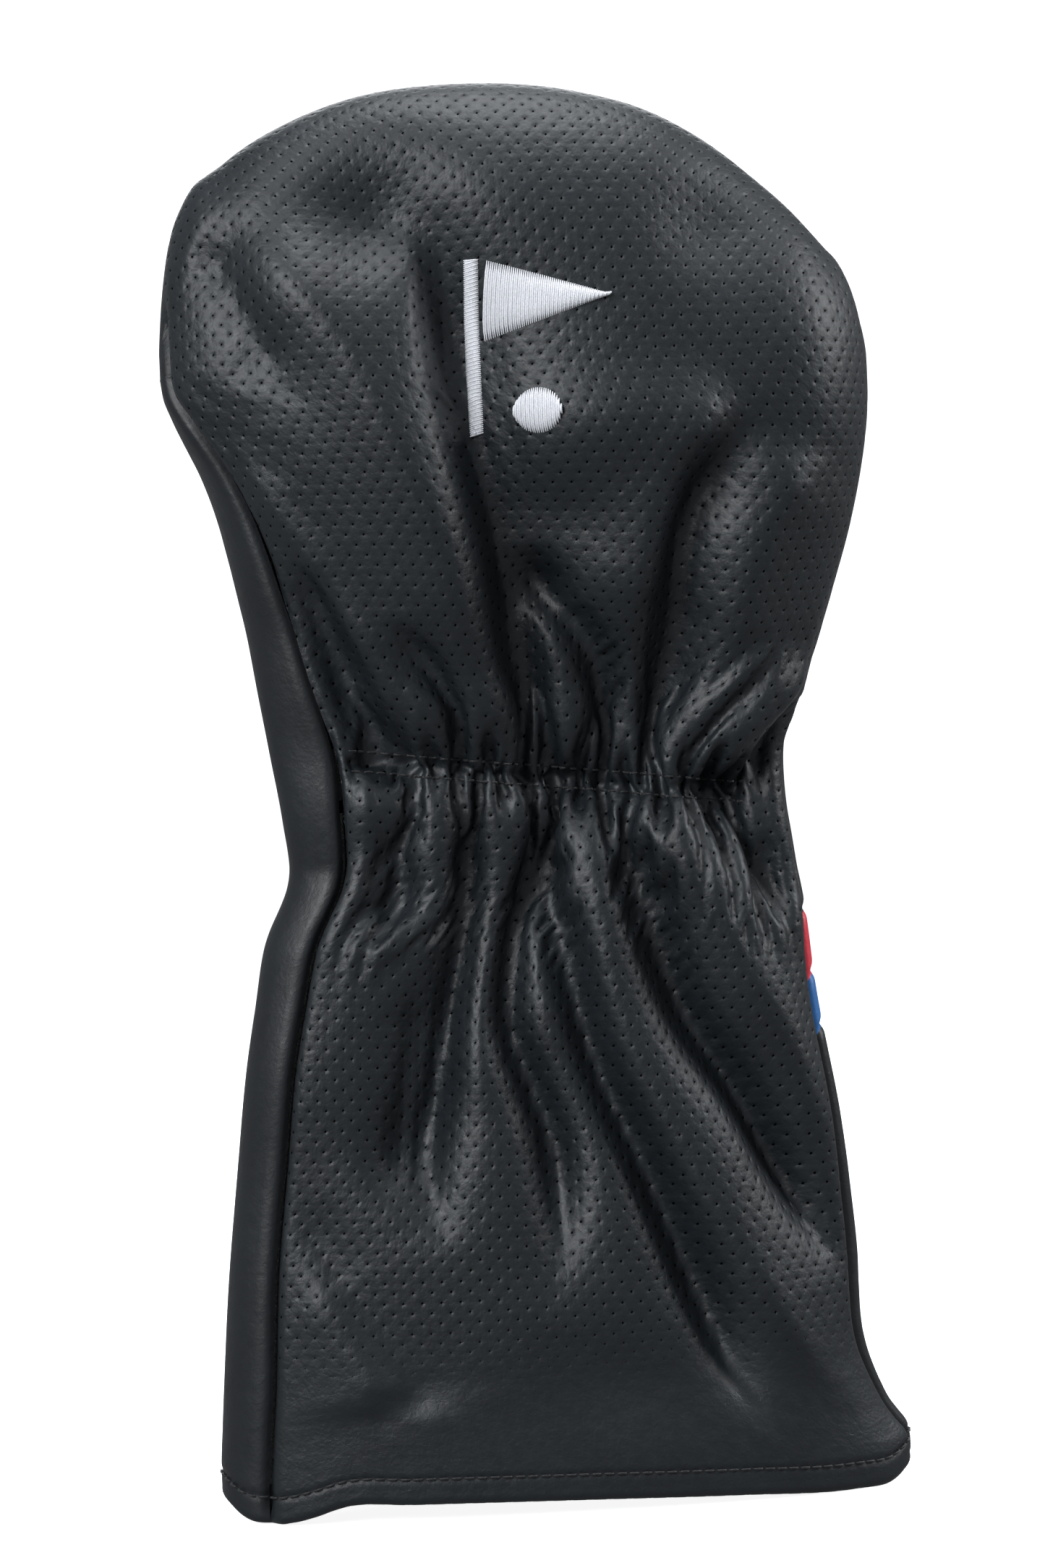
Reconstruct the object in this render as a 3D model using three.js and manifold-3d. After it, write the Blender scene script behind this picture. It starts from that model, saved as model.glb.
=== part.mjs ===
// A golf driver head cover: a soft two-panel mitten that stands on its open end, in millimetres, +Z up.
// The perforated back panel faces -Y, the plain front panel faces +Y, and a short elastic gathers the
// back panel at the waist. The hood above the waist holds the club head, and the skirt below it guides
// the cover over the head. The origin is on the floor, under the middle of the cover.
import * as THREE from "three";
import { mergeVertices } from "three/addons/utils/BufferGeometryUtils.js";
import Module from "manifold-3d";

const wasm = await Module();
wasm.setup();

// Overall shape.
const HEIGHT = 338;
const WAIST_Z = 176; // the hood nods about the X axis at this height
const WAIST_STRIP = 12; // height of the gathered strip that bends between the hood and the skirt
const SQUARENESS = 2.3; // exponent of the oval sections: 2 is an ellipse
const CROWN_X = -12; // the crown's highest point leans this far to the left
const CROWN_Y = 4;

// Half-widths to the left and right, half-depths to the back and front, and where the side seams lie
// in Y, at heights up to the shoulder. Above it the crown closes by a formula.
const STATIONS = [
  // z, left, right, back, front, left seam y, right seam y
  [-20, 80, 79, 28, 30, -15.5, -4],
  [0, 80.5, 79.5, 28, 30, -15.5, -4],
  [15, 82, 81, 27.5, 29.5, -15, -5],
  [45, 79.5, 73, 26, 28, -14.5, -8],
  [90, 74.5, 69, 24, 26, -13, -7.5],
  [130, 68, 64.5, 21.5, 23, -12.5, -6.5],
  [150, 63, 62.5, 20, 21, -12.5, -4],
  [176, 63, 61, 18.5, 19.5, -13, 0],
  [210, 69, 71.5, 25, 27, -14, 3],
  [240, 76.5, 80.5, 31, 33, -13, 5],
  [265, 83, 85, 32.8, 34.2, -7, 6],
  [285, 85, 85, 32.8, 34.2, 0, 7],
  [HEIGHT, 85, 85, 32.8, 34.2, 8, 8],
];
// Where each part of the outline starts to close towards the crown, and how squarely it does so.
const CROWN = {
  left: { from: 285, power: 2.4 },
  right: { from: 265, power: 2.1 },
  depth: { from: 280, power: 2.4 },
};

// Material thicknesses, from the outside in. Layers lie GAP apart.
const GAP = 0.3;
const SKIN = 1.1;
const FOAM = 2.5;
const LINING = 2.2;
const ELASTIC = 1;
const THREAD = 0.6;
const EMBROIDERY = 1.1;

const HEM_HEIGHT = 8; // height of the turned-up hem
const HEM_STITCH_Z = 6.5;
const STITCH_WIDTH = 0.8;
const ELASTIC_HEIGHT = 9;

// Two colour bands cross the front of the skirt from the right seam down to the hem. The red band's
// upper edge passes through x and z, and the blue band lies below it.
const SASH = { x: 64, z: 139, angle: 53, red: 10, blue: 9 };

// The stitched emblem on the back panel: a plain golf pin with its flag and a ball.
const EMBLEM = { x: 0, z: 274, height: 41, pole: 3.2, flag: 29, ball: 10.5 };

const COLUMNS = 28; // facets round each oval section
const ROW = 26; // height of one row of facets
const CROWN_ROWS = 5;
const REACH = 200; // half-size of the blocks used to cut the layers, larger than the cover
const SEAM_SPAN = 45; // the seam line runs level in Y beyond this far to each side

const leather = { roughness: 0.45, metalness: 0 };
const cloth = { roughness: 0.95, metalness: 0 };
const MATERIALS = {
  perforated: new THREE.MeshStandardMaterial({ color: 0x24272a, ...leather }),
  smooth: new THREE.MeshStandardMaterial({ color: 0x26292c, ...leather }),
  red: new THREE.MeshStandardMaterial({ color: 0xd8303c, ...leather }),
  blue: new THREE.MeshStandardMaterial({ color: 0x1f62b4, ...leather }),
  foam: new THREE.MeshStandardMaterial({ color: 0x8c8c88, ...cloth }),
  fleece: new THREE.MeshStandardMaterial({ color: 0x1c1d20, ...cloth }),
  elastic: new THREE.MeshStandardMaterial({ color: 0xe6e6e2, ...cloth }),
  blackThread: new THREE.MeshStandardMaterial({ color: 0x141517, ...cloth }),
  whiteThread: new THREE.MeshStandardMaterial({ color: 0xe9eaee, roughness: 0.6 }),
};

// ---- The cover's outer shape -------------------------------------------------------------------

const stationHeights = STATIONS.map((row) => row[0]);
const stations = new THREE.CubicInterpolant(
  stationHeights,
  STATIONS.flatMap((row) => row.slice(1)),
  STATIONS[0].length - 1,
);

// How far a part of the outline is still open at a height: 1 below its start, 0 at the crown's top.
function openness({ from, power }, z, top) {
  const climbed = THREE.MathUtils.clamp((z - from) / (top - from), 0, 1);
  return Math.sqrt(1 - climbed ** power);
}

// The oval section at a height, for a layer that lies inset millimetres inside the outer face.
function section(z, inset) {
  const top = HEIGHT - inset;
  const [left, right, back, front] = stations.evaluate(z);
  const depth = openness(CROWN.depth, z, top);
  const leftOpen = openness(CROWN.left, z, top);
  const rightOpen = openness(CROWN.right, z, top);
  const lean = THREE.MathUtils.smoothstep(z, CROWN.right.from, HEIGHT);
  const x = CROWN_X * lean;
  return {
    x,
    y: CROWN_Y * lean,
    left: (left - inset + CROWN_X) * leftOpen + x - CROWN_X,
    right: (right - inset - CROWN_X) * rightOpen + CROWN_X - x,
    back: (back - inset) * depth,
    front: (front - inset) * depth,
  };
}

// The points of one oval section, anticlockwise seen from above, starting at the right.
function ring(z, inset) {
  const oval = section(z, inset);
  const points = [];
  for (let i = 0; i < COLUMNS; i++) {
    const turn = (2 * Math.PI * i) / COLUMNS;
    const across = Math.sign(Math.cos(turn)) * Math.abs(Math.cos(turn)) ** (2 / SQUARENESS);
    const along = Math.sign(Math.sin(turn)) * Math.abs(Math.sin(turn)) ** (2 / SQUARENESS);
    points.push(
      new THREE.Vector3(
        oval.x + across * (across > 0 ? oval.right : oval.left),
        oval.y + along * (along > 0 ? oval.front : oval.back),
        z,
      ),
    );
  }
  return points;
}

// ---- Solids --------------------------------------------------------------------------------------

function solidFrom(geometry) {
  const bare = geometry.clone();
  bare.deleteAttribute("normal");
  bare.deleteAttribute("uv");
  const merged = mergeVertices(bare, 1e-4);
  return new wasm.Manifold(
    new wasm.Mesh({
      numProp: 3,
      vertProperties: new Float32Array(merged.attributes.position.array),
      triVerts: new Uint32Array(merged.index.array),
    }),
  );
}

// A closed skin through rings of equal length, anticlockwise seen from above, lowest ring first,
// with each end closed to a point.
function loft(rings, bottom, top) {
  const count = rings[0].length;
  const points = [...rings.flat(), bottom, top];
  const bottomIndex = points.length - 2;
  const topIndex = points.length - 1;
  const faces = [];
  const last = (rings.length - 1) * count;
  for (let i = 0; i < count; i++) {
    const next = (i + 1) % count;
    faces.push(bottomIndex, next, i, topIndex, last + i, last + next);
    for (let row = 0; row < rings.length - 1; row++) {
      const low = row * count;
      const high = low + count;
      faces.push(low + i, low + next, high + next, low + i, high + next, high + i);
    }
  }
  const geometry = new THREE.BufferGeometry().setFromPoints(points);
  geometry.setIndex(faces);
  return solidFrom(geometry);
}

// Heights of the rows of facets, from below the hem to just under the crown's top.
function rowHeights(top) {
  const heights = [];
  for (let z = -ROW / 2; z < CROWN.depth.from; z += ROW) heights.push(z);
  for (let i = 0; i < CROWN_ROWS; i++) {
    const climb = Math.sin(((i + 0.4) / CROWN_ROWS) * (Math.PI / 2));
    heights.push(CROWN.depth.from + (top - CROWN.depth.from) * climb);
  }
  return heights;
}

// The whole mitten as one solid, inset millimetres inside the outer face.
const bodies = new Map();
function body(inset) {
  if (!bodies.has(inset)) {
    const top = HEIGHT - inset;
    const heights = rowHeights(top);
    const rings = heights.map((z) => ring(z, inset));
    const bottom = new THREE.Vector3(0, 0, heights[0]);
    bodies.set(inset, loft(rings, bottom, new THREE.Vector3(CROWN_X, CROWN_Y, top)));
  }
  return bodies.get(inset);
}

// A layer of the wall between two insets, all the way round.
const layer = (outer, inner) => body(outer).subtract(body(inner));

function block(minimum, maximum) {
  const size = maximum.clone().sub(minimum);
  const middle = maximum.clone().add(minimum).multiplyScalar(0.5);
  return solidFrom(new THREE.BoxGeometry(size.x, size.y, size.z).translate(...middle));
}

// Everything between two heights.
const between = (low, high) =>
  block(new THREE.Vector3(-REACH, -REACH, low), new THREE.Vector3(REACH, REACH, high));

// Everything behind the two side seams, half a gap clear of them.
function behindSeams() {
  const rings = [];
  for (const z of [...stationHeights, HEIGHT + ROW]) {
    const [, , , , leftSeam, rightSeam] = stations.evaluate(Math.min(z, HEIGHT));
    const left = leftSeam - GAP / 2;
    const right = rightSeam - GAP / 2;
    rings.push([
      new THREE.Vector3(-REACH, -REACH, z),
      new THREE.Vector3(REACH, -REACH, z),
      new THREE.Vector3(REACH, right, z),
      new THREE.Vector3(SEAM_SPAN, right, z),
      new THREE.Vector3(-SEAM_SPAN, left, z),
      new THREE.Vector3(-REACH, left, z),
    ]);
  }
  const bottom = new THREE.Vector3(0, -REACH / 2, rings[0][0].z);
  const top = new THREE.Vector3(0, -REACH / 2, rings.at(-1)[0].z);
  return loft(rings, bottom, top);
}

// A slanted block from one distance to another above the sash's upper edge, running through the front.
function alongSash(low, high) {
  const long = 2 * REACH;
  const bar = new THREE.BoxGeometry(long, long, high - low);
  bar.translate(0, 0, (high + low) / 2);
  bar.rotateY(-THREE.MathUtils.degToRad(SASH.angle));
  bar.translate(SASH.x, 0, SASH.z);
  return solidFrom(bar);
}

const backSide = behindSeams();
const frontSide = between(-ROW, HEIGHT + ROW).subtract(backSide.translate([0, GAP, 0]));
const hoodBottom = WAIST_Z + WAIST_STRIP / 2;
const skirtTop = WAIST_Z - WAIST_STRIP / 2;
const hoodZone = between(hoodBottom, HEIGHT + REACH);
const skirtZone = between(0, skirtTop);
const waistZone = between(skirtTop + GAP, hoodBottom - GAP);

// ---- Sub-parts -----------------------------------------------------------------------------------

const cover = new THREE.Group();

function addPart(name, solid, material) {
  const mesh = solid.getMesh();
  const geometry = new THREE.BufferGeometry();
  geometry.setAttribute("position", new THREE.BufferAttribute(new Float32Array(mesh.vertProperties), 3));
  geometry.setIndex(new THREE.BufferAttribute(new Uint32Array(mesh.triVerts), 1));
  geometry.computeVertexNormals();
  const part = new THREE.Mesh(geometry, material);
  part.name = name;
  cover.add(part);
}

function addHood() {
  const foamAt = SKIN + GAP;
  const liningAt = foamAt + FOAM + GAP;
  const skin = layer(0, SKIN).intersect(hoodZone);
  const foam = layer(foamAt, foamAt + FOAM).intersect(hoodZone);
  const lining = layer(liningAt, liningAt + LINING).intersect(hoodZone);
  addPart("hood_back_panel", skin.intersect(backSide), MATERIALS.perforated);
  addPart("hood_front_panel", skin.intersect(frontSide), MATERIALS.smooth);
  addPart("hood_back_foam", foam.intersect(backSide), MATERIALS.foam);
  addPart("hood_front_foam", foam.intersect(frontSide), MATERIALS.foam);
  addPart("hood_back_lining", lining.intersect(backSide), MATERIALS.fleece);
  addPart("hood_front_lining", lining.intersect(frontSide), MATERIALS.fleece);
}

// The outer skin of the skirt, with its lower edge turned up inside as a hem.
function skirtSkin() {
  const wall = layer(0, SKIN).intersect(skirtZone);
  const fold = layer(0, 2 * SKIN + GAP).intersect(between(0, SKIN));
  const turnUp = layer(SKIN + GAP, 2 * SKIN + GAP).intersect(between(0, HEM_HEIGHT));
  return wall.add(fold).add(turnUp);
}

function addSkirt() {
  const skin = skirtSkin();
  const front = skin.intersect(frontSide);
  const half = GAP / 2;
  const sashBottom = -SASH.red - SASH.blue;
  const upper = front.intersect(alongSash(half, REACH));
  const red = front.intersect(alongSash(-SASH.red + half, -half));
  const blue = front.intersect(alongSash(sashBottom + half, -SASH.red - half));
  const lower = front.intersect(alongSash(-REACH, sashBottom - half));
  addPart("skirt_back_panel", skin.intersect(backSide), MATERIALS.perforated);
  addPart("skirt_front_upper_panel", upper, MATERIALS.smooth);
  addPart("skirt_front_red_band", red, MATERIALS.red);
  addPart("skirt_front_blue_band", blue, MATERIALS.blue);
  addPart("skirt_front_lower_panel", lower, MATERIALS.smooth);

  const liningAt = SKIN + GAP;
  const liningZone = between(HEM_HEIGHT + GAP, skirtTop);
  const lining = layer(liningAt, liningAt + LINING).intersect(liningZone);
  addPart("skirt_back_lining", lining.intersect(backSide), MATERIALS.fleece);
  addPart("skirt_front_lining", lining.intersect(frontSide), MATERIALS.fleece);
}

// A row of top-stitching: a flat thread that lies GAP outside the skin, centred on a height.
function stitching(z) {
  const row = between(z - STITCH_WIDTH / 2, z + STITCH_WIDTH / 2);
  return layer(-GAP - THREAD, -GAP).intersect(row);
}

function addWaist() {
  const skin = layer(0, SKIN).intersect(waistZone);
  addPart("waist_back_gather", skin.intersect(backSide), MATERIALS.perforated);
  addPart("waist_front_strip", skin.intersect(frontSide), MATERIALS.smooth);
  const elasticAt = SKIN + GAP;
  const liningAt = elasticAt + ELASTIC + GAP;
  const elasticZone = between(WAIST_Z - ELASTIC_HEIGHT / 2, WAIST_Z + ELASTIC_HEIGHT / 2);
  const elastic = layer(elasticAt, elasticAt + ELASTIC).intersect(elasticZone);
  addPart("waist_elastic", elastic.intersect(backSide), MATERIALS.elastic);
  const lining = layer(liningAt, liningAt + LINING).intersect(waistZone);
  addPart("waist_lining", lining, MATERIALS.fleece);
  const reach = ELASTIC_HEIGHT / 2 - STITCH_WIDTH;
  addPart("elastic_stitching_upper", stitching(WAIST_Z + reach).intersect(backSide), MATERIALS.blackThread);
  addPart("elastic_stitching_lower", stitching(WAIST_Z - reach).intersect(backSide), MATERIALS.blackThread);
}

function addHemStitching() {
  const row = stitching(HEM_STITCH_Z);
  addPart("hem_stitching_back", row.intersect(backSide), MATERIALS.blackThread);
  addPart("hem_stitching_front", row.intersect(frontSide), MATERIALS.blackThread);
}

// An embroidered piece: an outline in X and Z, standing off the back panel by GAP.
function embroidered(shape) {
  const prism = new THREE.ExtrudeGeometry(shape, { depth: REACH, bevelEnabled: false, curveSegments: 8 });
  prism.rotateX(Math.PI / 2);
  return layer(-GAP - EMBROIDERY, -GAP).intersect(solidFrom(prism));
}

function addEmblem() {
  const top = EMBLEM.z + EMBLEM.height / 2;
  const bottom = top - EMBLEM.height;
  const poleRight = EMBLEM.x - EMBLEM.flag / 2 + EMBLEM.pole;

  const pole = new THREE.Shape();
  pole.moveTo(poleRight - EMBLEM.pole, bottom);
  pole.lineTo(poleRight, bottom);
  pole.lineTo(poleRight, top);
  pole.lineTo(poleRight - EMBLEM.pole, top);

  // A pennant whose edges swell a little as they run to its tip.
  const hoist = poleRight + 1.2;
  const tip = hoist + EMBLEM.flag;
  const drop = EMBLEM.height * 0.46;
  const flag = new THREE.Shape();
  flag.moveTo(hoist, top);
  flag.lineTo(hoist, top - drop);
  flag.quadraticCurveTo(hoist + EMBLEM.flag * 0.55, top - drop * 0.8, tip, top - drop / 2);
  flag.quadraticCurveTo(hoist + EMBLEM.flag * 0.5, top - drop * 0.14, hoist, top);

  const ballX = poleRight + EMBLEM.ball * 1.15;
  const ball = new THREE.Shape();
  ball.absarc(ballX, bottom + EMBLEM.ball / 2, EMBLEM.ball / 2, 0, 2 * Math.PI);

  addPart("emblem_pole", embroidered(pole), MATERIALS.whiteThread);
  addPart("emblem_flag", embroidered(flag), MATERIALS.whiteThread);
  addPart("emblem_ball", embroidered(ball), MATERIALS.whiteThread);
}

addHood();
addWaist();
addSkirt();
addHemStitching();
addEmblem();

// Stand the cover squarely over the origin.
const middle = new THREE.Box3().setFromObject(cover).getCenter(new THREE.Vector3());
for (const part of cover.children) part.geometry.translate(-middle.x, -middle.y, 0);

export default cover;
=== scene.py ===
"""A padded golf driver head cover in black perforated PU leather, standing on its open end.

Lengths are in millimetres until a mesh is made, and the meshes are in metres, in the frame's axes:
+Z up, -Y out of the perforated back panel. The outer shape is a set of oval sections up to the
shoulder and a crown above it. Each layer of the wall lies at its own depth under that shape, and the
folds and the elastic's gathers are added to the depth.
"""

import math

import bmesh
import bpy
import numpy as np
from mathutils import Matrix, Vector
from mathutils.bvhtree import BVHTree


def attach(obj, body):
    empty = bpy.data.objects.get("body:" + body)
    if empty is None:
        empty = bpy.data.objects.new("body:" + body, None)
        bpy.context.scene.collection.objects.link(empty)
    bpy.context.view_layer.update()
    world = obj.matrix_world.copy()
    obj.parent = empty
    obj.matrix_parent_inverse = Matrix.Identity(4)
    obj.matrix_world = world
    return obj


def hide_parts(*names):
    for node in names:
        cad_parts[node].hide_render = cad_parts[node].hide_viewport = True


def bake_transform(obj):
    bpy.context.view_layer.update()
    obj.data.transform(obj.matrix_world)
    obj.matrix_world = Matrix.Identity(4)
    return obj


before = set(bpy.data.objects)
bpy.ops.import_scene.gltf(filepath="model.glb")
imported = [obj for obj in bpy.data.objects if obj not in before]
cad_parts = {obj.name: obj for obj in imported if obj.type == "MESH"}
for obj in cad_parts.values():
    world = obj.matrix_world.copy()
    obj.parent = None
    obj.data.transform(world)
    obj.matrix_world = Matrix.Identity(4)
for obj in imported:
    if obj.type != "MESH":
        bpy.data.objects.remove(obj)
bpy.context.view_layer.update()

MM = 0.001

# ---- Shape of the cover --------------------------------------------------------------------------

SQUARENESS = 2.3
SHOULDER_Z = 270.0  # the crown starts here
CROWN_POWER = 2.3
RIDGE_Y = 4.0  # the crown's ridge leans this far to the front
WAIST_Z = 173.0
ELASTIC_PULL = 0.36  # how far the elastic gathers the back panel, as a share of its width
OVER_THE_TOP = 14.0  # degrees that the back panel carries on past the ridge

# Height: half-width left, half-width right, depth back, depth front, left seam y, right seam y. The
# last row keeps the sides upright where the crown starts.
SECTIONS = np.array(
    [
        (-2, 82.6, 84.0, 28.0, 30.0, -15.0, -4.0),
        (8, 82.6, 83.6, 27.8, 29.8, -15.0, -4.5),
        (18, 82.0, 79.0, 27.5, 29.5, -15.0, -6.0),
        (32, 81.0, 73.8, 27.0, 29.0, -15.0, -8.0),
        (60, 78.4, 72.6, 25.5, 27.5, -14.0, -8.0),
        (90, 74.6, 69.0, 24.0, 26.0, -13.5, -7.5),
        (120, 69.6, 64.8, 22.2, 24.0, -13.0, -6.5),
        (136, 66.5, 63.6, 21.2, 22.8, -13.0, -5.5),
        (150, 60.8, 62.4, 20.2, 21.4, -13.0, -4.0),
        (165, 61.2, 60.8, 19.2, 20.2, -13.0, -2.0),
        (180, 63.5, 61.4, 18.8, 20.2, -13.0, 0.0),
        (195, 66.0, 66.2, 22.0, 23.5, -14.0, 2.0),
        (210, 68.8, 71.6, 25.5, 27.0, -14.5, 3.0),
        (240, 76.2, 80.4, 31.0, 32.5, -13.5, 4.6),
        (258, 82.4, 83.2, 32.6, 33.8, -10.0, 3.6),
        (270, 85.2, 83.6, 32.8, 34.0, -6.0, 1.6),
        (270.5, 85.2, 83.6, 32.8, 34.0, -6.0, 1.6),
    ],
    float,
)
# The crown's outline: x and height.
CROWN_LINE = np.array(
    [
        (-85.4, 274),
        (-84.9, 280),
        (-84.2, 287),
        (-82.4, 299),
        (-79.2, 309),
        (-75.5, 315.5),
        (-70.0, 319.4),
        (-65.0, 323.2),
        (-53.7, 329.5),
        (-40.0, 334.6),
        (-12.5, 338.0),
        (17.5, 335.2),
        (33.0, 330.5),
        (56.0, 315.5),
        (72.0, 299.0),
        (80.0, 286.0),
        (83.6, 270.0),
    ],
    float,
)
# How far the bottom edge lifts off the floor: x and lift.
HEM_LIFT = np.array(
    [
        (-84, 6.0),
        (-79, 1.6),
        (-72, 0.2),
        (-64, 1.6),
        (-56, 4.4),
        (-40, 4.4),
        (0, 3.4),
        (40, 1.6),
        (68, 0.1),
        (78, 0.6),
        (84, 4.5),
    ],
    float,
)


def smoothstep(x):
    x = np.clip(x, 0, 1)
    return x * x * (3 - 2 * x)


def through(points, x):
    """Values at x of smooth curves through rows of (x, value, value...), level beyond the ends."""
    xs, ys = points[:, 0], points[:, 1:]
    slopes = np.gradient(ys, xs, axis=0)
    x = np.clip(x, xs[0], xs[-1])
    k = np.clip(np.searchsorted(xs, x) - 1, 0, len(xs) - 2)
    h = (xs[k + 1] - xs[k])[..., None]
    u = (x - xs[k])[..., None] / h
    a, b = 2 * u**3 - 3 * u**2 + 1, u**3 - 2 * u**2 + u
    return a * ys[k] + b * h * slopes[k] + (1 - a) * ys[k + 1] + (u**3 - u**2) * h * slopes[k + 1]


def oval(turn, z, inset):
    """A point on the oval section at a height, inset under the outer shape."""
    left, right, back, front, _, _ = np.moveaxis(through(SECTIONS, z), -1, 0)
    c, s = np.cos(turn), np.sin(turn)
    x = np.sign(c) * np.abs(c) ** (2 / SQUARENESS) * (np.where(c > 0, right, left) - inset)
    y = np.sign(s) * np.abs(s) ** (2 / SQUARENESS) * (np.where(s > 0, front, back) - inset)
    return x, y


def lean(z):
    return RIDGE_Y * smoothstep((z - 230) / 80)


def seam_turns(z):
    """The turns at which the left and right side seams lie at a height."""
    left, right, back, front, left_y, right_y = np.moveaxis(through(SECTIONS, z), -1, 0)

    def turn(y):
        share = np.clip(np.abs(y) / np.where(y > 0, front, back), 0, 1) ** (SQUARENESS / 2)
        return np.sign(y) * np.arcsin(share)

    return math.pi - turn(left_y), 2 * math.pi + turn(right_y)


class Wall:
    """The back or front half of the cover as a grid: rows from hem to crown, columns from seam to seam.

    Columns run from the left seam (0) to the right seam (1). Rows below the shoulder are level
    sections, and above it they climb each column to the crown's ridge.
    """

    def __init__(self, back, columns, row_step):
        self.back = back
        self.low_z = np.linspace(0, SHOULDER_Z, round(SHOULDER_Z / row_step) + 1)
        self.climb = np.linspace(0, 1, round(81 / row_step) + 1)[1:]
        fine = np.linspace(0, 1, 600)
        start, end = seam_turns(self.low_z)
        if not back:
            end = end - 2 * math.pi
        rows = []
        for z, a, b in zip(self.low_z, start, end):
            turn = a + (b - a) * fine
            x, y = oval(turn, np.full(600, z), 0)
            along = np.concatenate([[0], np.cumsum(np.hypot(np.diff(x), np.diff(y)))])
            across = self.crowded(z, columns)
            rows.append(np.interp(across, along / along[-1], turn))
        self.turn = np.array(rows)
        self.shape = (len(self.low_z) + len(self.climb), columns)

    def crowded(self, z, columns):
        """Where the columns lie along a row: crowded together at the elastic, even elsewhere."""
        share = np.linspace(0, 1, columns)
        if not self.back:
            return share
        pull = math.exp(-(((z - WAIST_Z) / 32) ** 2))
        tight = smoothstep((share - 0.10) / 0.12) * smoothstep((0.95 - share) / 0.12)
        density = 1 - ELASTIC_PULL * pull * tight
        position = np.concatenate([[0], np.cumsum((density[1:] + density[:-1]) / 2)])
        return position / position[-1]

    def points(self, inset=0.0):
        """The grid's points at a depth under the outer shape."""
        z = np.repeat(self.low_z[:, None], self.shape[1], axis=1)
        x, y = oval(self.turn, z, inset)
        lift = through(HEM_LIFT, x)[..., 0] * (1 - smoothstep(z / 45))
        low = np.stack([x, y + lean(z), z + lift], axis=-1)

        foot_x, foot_y = x[-1], y[-1]
        outer_x, outer_y = oval(self.turn[-1], z[-1], 0)
        top = through(CROWN_LINE, outer_x)[..., 0] - inset
        depth_back, depth_front = SECTIONS[-1, 3:5]
        share = np.abs(outer_y) / np.where(outer_y < 0, depth_back, depth_front)
        over = OVER_THE_TOP * smoothstep(share / 0.6)
        own_side = (outer_y < 0) == self.back
        reach = np.radians(90 + np.where(own_side, over if self.back else -over, 0))
        past_ridge = foot_y * depth_front / depth_back if self.back else foot_y
        # Even steps along each column, from a finely divided quarter oval.
        fine = np.linspace(0, 1, 300)[:, None] * reach
        rise = SHOULDER_Z + (top - SHOULDER_Z) * np.abs(np.sin(fine)) ** (2 / CROWN_POWER)
        c = np.cos(fine)
        spread = np.where(c > 0, foot_y, past_ridge) * np.sign(c)
        depth = spread * np.abs(c) ** (2 / SQUARENESS) + lean(rise)
        step = np.hypot(np.diff(rise, axis=0), np.diff(depth, axis=0))
        along = np.concatenate([np.zeros((1, self.shape[1])), np.cumsum(step, axis=0)])
        high = np.empty((len(self.climb), self.shape[1], 3))
        for i in range(self.shape[1]):
            share = along[:, i] / max(along[-1, i], 1e-9)
            high[:, i, 0] = foot_x[i]
            high[:, i, 1] = np.interp(self.climb, share, depth[:, i])
            high[:, i, 2] = np.interp(self.climb, share, rise[:, i])
        return np.concatenate([low, high])


def normals(points, back):
    """Outward unit normals of a grid of points."""
    across = np.gradient(points, axis=1)
    up = np.gradient(points, axis=0)
    n = np.cross(across, up)
    n /= np.maximum(np.linalg.norm(n, axis=-1, keepdims=True), 1e-9)
    return n if back else -n


def blur(field, rows, columns):
    """A grid smoothed along its rows and columns, by widths in grid steps."""
    for axis, width in ((0, rows), (1, columns)):
        if width <= 0:
            continue
        reach = int(3 * width) + 1
        weights = np.exp(-0.5 * (np.arange(-reach, reach + 1) / width) ** 2)
        weights /= weights.sum()
        pad = [(0, 0)] * field.ndim
        pad[axis] = (reach, reach)
        wide = np.pad(field, pad, mode="edge")
        field = sum(
            w * np.take(wide, np.arange(field.shape[axis]) + k, axis=axis)
            for k, w in enumerate(weights)
        )
    return field


# ---- Folds ---------------------------------------------------------------------------------------

# Depth in mm, width to the left and to the right, and the line's points in x and z, seen from the
# back panel. A negative depth is a ridge.
HOOD_FOLDS = [
    (17, 13, 5, [(-21, 314), (-20, 296), (-18, 277), (-15, 256), (-11, 236), (-7, 212), (-4, 195), (0, 179)]),
    (-5, 11, 11, [(-66, 304), (-50, 284), (-36, 259), (-23, 230), (-13, 199)]),
    (12, 6, 8, [(56, 259), (45, 246), (38, 233), (35, 220), (34, 204), (30, 189), (26, 176)]),
    (-5, 7, 7, [(48, 264), (36, 250), (28, 232), (24, 212)]),
    (-4, 9, 9, [(66, 250), (53, 228), (46, 204)]),
    (9, 5, 6, [(-5, 227), (3, 213), (13, 200), (17, 179)]),
    (-4, 5, 5, [(-2, 214), (5, 200), (9, 184)]),
    (13, 9, 4, [(-84, 267), (-76, 247), (-65, 228), (-56, 208), (-46, 191), (-39, 179)]),
    (-5, 5, 11, [(-76, 260), (-62, 236), (-48, 212), (-34, 188)]),
    (6, 4, 5, [(-58, 228), (-51, 204), (-43, 183)]),
    (5, 4, 5, [(-36, 212), (-27, 200), (-19, 188), (-15, 179)]),
    (4, 7, 6, [(-76, 305), (-69, 289), (-60, 270)]),
    (9, 8, 5, [(66, 182), (57, 176), (48, 170), (40, 164)]),
    (-4, 8, 8, [(64, 196), (52, 186), (42, 177)]),
]
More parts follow.
